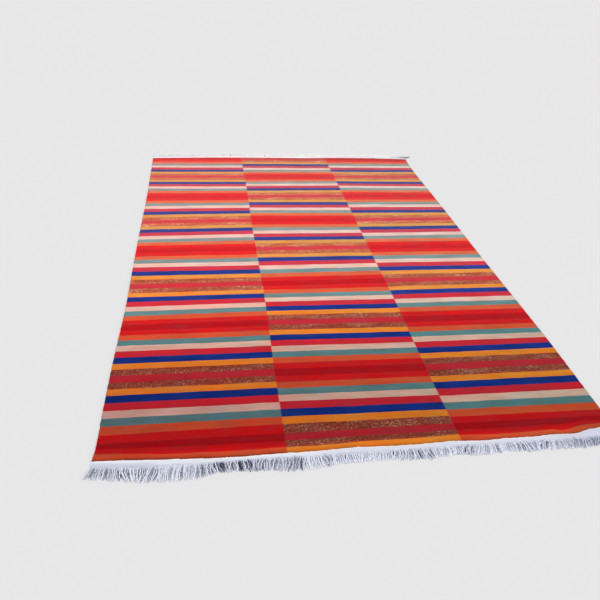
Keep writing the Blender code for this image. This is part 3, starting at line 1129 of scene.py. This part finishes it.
def corner_sway(side, lock):
    """Outward lean of the loose locks at the near left and the far right corner."""
    inset = WIDTH * 0.5 / LOCKS_PER_END
    if side < 0:
        place = lock
        reach = -(NEAR_LEFT_REACH + inset - CORNER_TIP)
        edge_sway = LINES[0].left
    else:
        place = LOCKS_PER_END - 1 - lock
        reach = FAR_RIGHT_REACH + inset - CORNER_TIP
        edge_sway = LINES[-1].right
    share = max(1 - place / CORNER_LOCKS, 0.0)
    return (reach - edge_sway) * share * share


def lock_groups(draw):
    """Group of each lock: the group's middle lock, its lean and how far it is gathered."""
    groups = []
    while len(groups) < LOCKS_PER_END:
        count = draw.choice(GROUP_COUNTS)
        middle = len(groups) + count / 2 - 0.5
        groups += [(middle, draw.gauss(0.0, GROUP_LEAN), draw.uniform(*GATHERED))] * count
    return groups[:LOCKS_PER_END]


def strand_paths(fringe, sizes):
    """Centre lines, sizes, and dirt and painted shade of all the strands of one end.

    Every other strand of a lock lies under the rest, shorter, thinner and dusty, and darker
    still with painted shade. The upper ones are drawn together into groups and lie apart at
    the partings.
    """
    side = fringe.side
    lock_draw = random.Random(LOCK_SEED + side)
    draw = random.Random(LOCK_SEED * 7 + side)
    lines = end_lines(fringe)
    pitch = WIDTH / LOCKS_PER_END
    count = sizes.strands_per_lock
    strands = []
    for lock, (middle, group_lean, gather) in enumerate(lock_groups(draw)):
        lock_cut = lock_draw.uniform(0.0, LENGTH_JITTER)
        lock_lean = lock_draw.uniform(-LEAN_JITTER, LEAN_JITTER)
        for number in range(count):
            upper = number % 2 == 1
            offset = (number + 0.5) / count - 0.5
            index = lock + offset
            across = (lock + 0.5 + offset * LOCK_FILL) / LOCKS_PER_END
            length = table_value(fringe.end, across, "strand") - lock_cut
            length *= draw.uniform(*(UPPER_LENGTHS if upper else UNDER_LENGTHS))
            bulge = BULGE_REACH * wave(index / BULGE_WAVE_LOCKS)
            sway = lock_lean + draw.gauss(0.0, sizes.tangle) - sizes.drag * (across - UNDRAGGED)
            for lean in fringe.leans:
                sway += lean.reach * wave(index / lean.wave_locks, lean.phase)
            if upper:
                sway += group_lean
                if draw.random() < STRAY_CHANCE:
                    sway += draw.choice((-1, 1)) * draw.uniform(*STRAY_REACHES)
            corner = corner_sway(side, lock)
            if corner != 0.0:
                sway = corner + draw.gauss(0.0, sizes.tangle / 2)
                bulge = 0.0
            start = draw.uniform(*(UPPER_STARTS if upper else UNDER_STARTS))
            start += 0.5 * wander(index * 0.37, 3.0 * side, 1.0)
            root = table_value(fringe.end, across, "lap") * start
            strand = SimpleNamespace(
                side=side,
                x=x_between(lines, across) + draw.uniform(-ROOT_JITTER, ROOT_JITTER),
                y=fringe_line_y(fringe, across) - side * root,
                length=length + root,
                sway=sway,
                bulge=bulge,
                gather=(gather if upper else UNDER_GATHERED) * (middle - index) * pitch,
                push=0.0,
                crimp=draw.uniform(*CRIMPS),
                crimp_turns=draw.uniform(*CRIMP_TURNS),
                crimp_phase=draw.uniform(0.0, 2 * math.pi),
                lift=draw.uniform(*UPPER_LIFTS) if upper else 0.0,
                radius=sizes.thickness / 2
                * (draw.uniform(*UPPER_GIRTHS) if upper else UNDER_GIRTH),
                turn=draw.uniform(0.0, math.pi),
            )
            darkest = draw_apart(strand, upper, lines, fringe.partings)
            # Dirt and painted shade of the strand; an under strand by a parting takes its painted
            # shade
            under_dust_and_shade = table_value(fringe.dust, across, "under")
            if upper:
                dust = table_value(fringe.dust, across, "upper")
                strand.dust = max(dust + under_dust_and_shade * draw.choice(DUST_AND_SHADE_SPREADS), 0.0)
            else:
                dust = under_dust_and_shade * draw.uniform(*UNDER_DUST_AND_SHADE_SHARES)
                strand.dust = max(dust, min(PARTING_SHADE * darkest, DARKEST_PARTING_SHADE))
            strands.append(strand)
    return strands


def draw_apart(strand, upper, lines, partings):
    """Push a strand away from the partings near it, and return how much painted shade they leave
    on it.
    """
    middle_x = strand_point(strand, 0.5).x
    darkest = 0.0
    for parting in partings:
        apart = middle_x - x_between(lines, parting.share)
        share = bell(apart, PARTING_SPREAD)
        push = parting.push * math.copysign(share, apart)
        strand.push += push if upper else -UNDER_PUSH * push
        darkest = max(darkest, share * parting.push / FULL_PARTING)
    return darkest


def strand_point(strand, t):
    """Centre of a strand at a share of its length."""
    crimp = strand.crimp * min(t * CRIMP_ONSET, 1.0)
    drawn = min(t / GATHERED_BY, 1.0)
    x = strand.x + strand.sway * t ** LOCK_CURL
    x += (strand.bulge + strand.push) * hump(t)
    x += strand.gather * drawn * drawn * (3 - 2 * drawn)
    x += crimp * wave(strand.crimp_turns * t, strand.crimp_phase)
    y = strand.y + strand.side * strand.length * t
    z = strand.radius * strand_girth(t) * RIDE_HEIGHT
    z += strand.lift * hump(min(t * LIFT_PACE, 1.0)) ** LIFT_ROUNDING
    return Vector((x, y, z))


def strand_girth(t):
    """Thickness of a strand at a share of its length, as a share of its full one."""
    return float(np.interp(t, GIRTH_PLACES, GIRTHS))


def strand_dust(strand, t):
    """Dirt and painted shade on a strand at a share of its length: clean at the root, less at the
    tip.
    """
    from_root = min(ROOT_DUST_AND_SHADE + t * DUST_AND_SHADE_RISE, 1.0)
    from_tip = min(TIP_DUST_AND_SHADE + (1 - t) * DUST_AND_SHADE_FALL, 1.0)
    return strand.dust * from_root * from_tip


def strand_ring(strand, t, sizes):
    """Points round a strand at a share of its length, turned by its twist."""
    centre = strand_point(strand, t)
    ahead = strand_point(strand, min(t + HEADING_REACH, 1.0))
    behind = strand_point(strand, max(t - HEADING_REACH, 0.0))
    heading = (ahead - behind).normalized()
    sideways = heading.cross(Vector((0.0, 0.0, 1.0))).normalized()
    up = sideways.cross(heading)
    radius = strand.radius * strand_girth(t)
    turn = strand.turn + 2 * math.pi * strand.length * t / sizes.twist_length
    ring = []
    for corner in range(STRAND_SIDES):
        angle = 2 * math.pi * corner / STRAND_SIDES
        long_way = STRAND_OVAL[0] * math.cos(angle)
        short_way = STRAND_OVAL[1] * math.sin(angle)
        off_side = long_way * math.cos(turn) - short_way * math.sin(turn)
        off_up = long_way * math.sin(turn) + short_way * math.cos(turn)
        point = centre + radius * (off_side * sideways + off_up * up)
        point.z = max(point.z, 0.0)
        ring.append(point)
    return ring


def make_strands(name, strands, sizes, material):
    """All the twisted strands of one end, as one mesh of long turning tubes."""
    points = []
    faces = []
    dusts_and_shades = []
    places = []
    for strand in strands:
        rings = max(7, round(strand.length / sizes.twist_length * RINGS_PER_TWIST))
        first = len(points)
        for ring in range(rings + 1):
            t = ring / rings
            points += strand_ring(strand, t, sizes)
            dusts_and_shades += [strand_dust(strand, t)] * STRAND_SIDES
        for ring in range(rings):
            low = first + ring * STRAND_SIDES
            high = low + STRAND_SIDES
            start = strand.length * ring / rings
            stop = strand.length * (ring + 1) / rings
            for corner in range(STRAND_SIDES):
                after = (corner + 1) % STRAND_SIDES
                faces.append((low + corner, high + corner, high + after, low + after))
                near_edge = corner / STRAND_SIDES
                far_edge = (corner + 1) / STRAND_SIDES
                places += [near_edge, start, near_edge, stop, far_edge, stop, far_edge, start]
        tip = first + rings * STRAND_SIDES
        faces.append(tuple(range(first, first + STRAND_SIDES)))
        faces.append(tuple(reversed(range(tip, tip + STRAND_SIDES))))
        places += [0.5, 0.0] * STRAND_SIDES + [0.5, strand.length] * STRAND_SIDES
    data = bpy.data.meshes.new(name)
    data.from_pydata(points, [], faces)
    data.uv_layers.new(name="strand").data.foreach_set("uv", places)
    data.attributes.new("strand_dust", "FLOAT", "POINT").data.foreach_set("value", dusts_and_shades)
    return finish_piece(data, material)


class RUG_OT_twist_fringes(bpy.types.Operator):
    """Twist the loose warp ends into strands at each end."""

    bl_idname = "rug.twist_fringes"
    bl_label = "Twist Fringes"

    def execute(self, context):
        sizes = context.scene.rug_fringe
        material = cord_cotton(context.scene.rug_yarns)
        for fringe in FRINGES:
            strands = strand_paths(fringe, sizes)
            piece = make_strands(f"{fringe.name}_strands", strands, sizes, material)
            mount_piece(piece, f"{fringe.name}_fringe")
        return {"FINISHED"}


def floor_paint():
    """Plain pale matt floor."""
    material, tree, inputs = fresh_material("pale_floor", 0.9, 0.0, (1.0, 1.0, 1.0))
    cloud = speckle(object_place(tree), 0.6)
    feed(inputs["Base Color"], blend_colours(cloud, *FLOOR_SHADES))
    return material


def add_soft_light(lamp):
    """Large soft light turned to what it aims at, out of sight and kept to some pieces."""
    data = bpy.data.lights.new(lamp.name, "AREA")
    data.shape = "RECTANGLE"
    data.size, data.size_y = lamp.size
    data.energy = lamp.power
    data.color = lamp.colour
    light = bpy.data.objects.new(lamp.name, data)
    light.location = lamp.place
    way = Vector(lamp.aim) - Vector(lamp.place)
    light.rotation_euler = way.to_track_quat("-Z", "Y").to_euler()
    light.visible_camera = False
    lit = bpy.data.collections.new(f"lit_by_{lamp.name}")
    for name in lamp.lit:
        lit.objects.link(bpy.data.objects[name])
    light.light_linking.receiver_collection = lit
    bpy.context.scene.collection.objects.link(light)


class RUG_OT_set_stage(bpy.types.Operator):
    """Lay the pale floor and set up the light and the camera."""

    bl_idname = "rug.set_stage"
    bl_label = "Set Stage"

    def execute(self, context):
        scene = context.scene
        deselect_all()
        bpy.ops.mesh.primitive_plane_add(size=FLOOR_SIZE, location=(0.0, 0.0, 0.0))
        floor = context.active_object
        floor.name = "floor"
        floor.data.materials.append(floor_paint())

        world = bpy.data.worlds.new("studio")
        world.use_nodes = True
        sky = world.node_tree.nodes["Background"]
        sky.inputs["Color"].default_value = (1.0, 1.0, 1.0, 1.0)
        sky.inputs["Strength"].default_value = SKY_STRENGTH
        scene.world = world
        for lamp in LAMPS:
            add_soft_light(lamp)

        data = bpy.data.cameras.new("camera")
        data.lens = CAMERA_LENS
        data.sensor_width = CAMERA_SENSOR
        camera = bpy.data.objects.new("camera", data)
        turn = Matrix((CAMERA_RIGHT, CAMERA_UP, CAMERA_BACK)).transposed()
        camera.matrix_world = Matrix.Translation(CAMERA_PLACE) @ turn.to_4x4()
        scene.collection.objects.link(camera)
        scene.camera = camera
        scene.view_settings.view_transform = "Standard"
        return {"FINISHED"}


class RUG_PT_panel(bpy.types.Panel):
    """Buttons and sizes of the rug."""

    bl_label = "Rug"
    bl_idname = "RUG_PT_panel"
    bl_space_type = "VIEW_3D"
    bl_region_type = "UI"
    bl_category = "Rug"

    def draw(self, context):
        column = self.layout.column()
        for operator in OPERATORS:
            column.operator(operator.bl_idname)
        for group in (context.scene.rug_cloth, context.scene.rug_fringe, context.scene.rug_yarns):
            for name in group.__annotations__:
                column.prop(group, name)


OPERATORS = (RUG_OT_weave_cloth, RUG_OT_weave_webs, RUG_OT_twist_fringes, RUG_OT_set_stage)
CLASSES = (ClothSizes, FringeSizes, YarnColours, *OPERATORS, RUG_PT_panel)


def register():
    """Register the classes and hang the settings on the scene."""
    for each in CLASSES:
        bpy.utils.register_class(each)
    bpy.types.Scene.rug_cloth = bpy.props.PointerProperty(type=ClothSizes)
    bpy.types.Scene.rug_fringe = bpy.props.PointerProperty(type=FringeSizes)
    bpy.types.Scene.rug_yarns = bpy.props.PointerProperty(type=YarnColours)


def unregister():
    """Take the settings and classes away again."""
    del bpy.types.Scene.rug_cloth
    del bpy.types.Scene.rug_fringe
    del bpy.types.Scene.rug_yarns
    for each in reversed(CLASSES):
        bpy.utils.unregister_class(each)


def main():
    """Make every piece, then the stage."""
    register()
    bpy.ops.rug.weave_cloth()
    bpy.ops.rug.weave_webs()
    bpy.ops.rug.twist_fringes()
    bpy.ops.rug.set_stage()


if __name__ == "__main__":
    main()
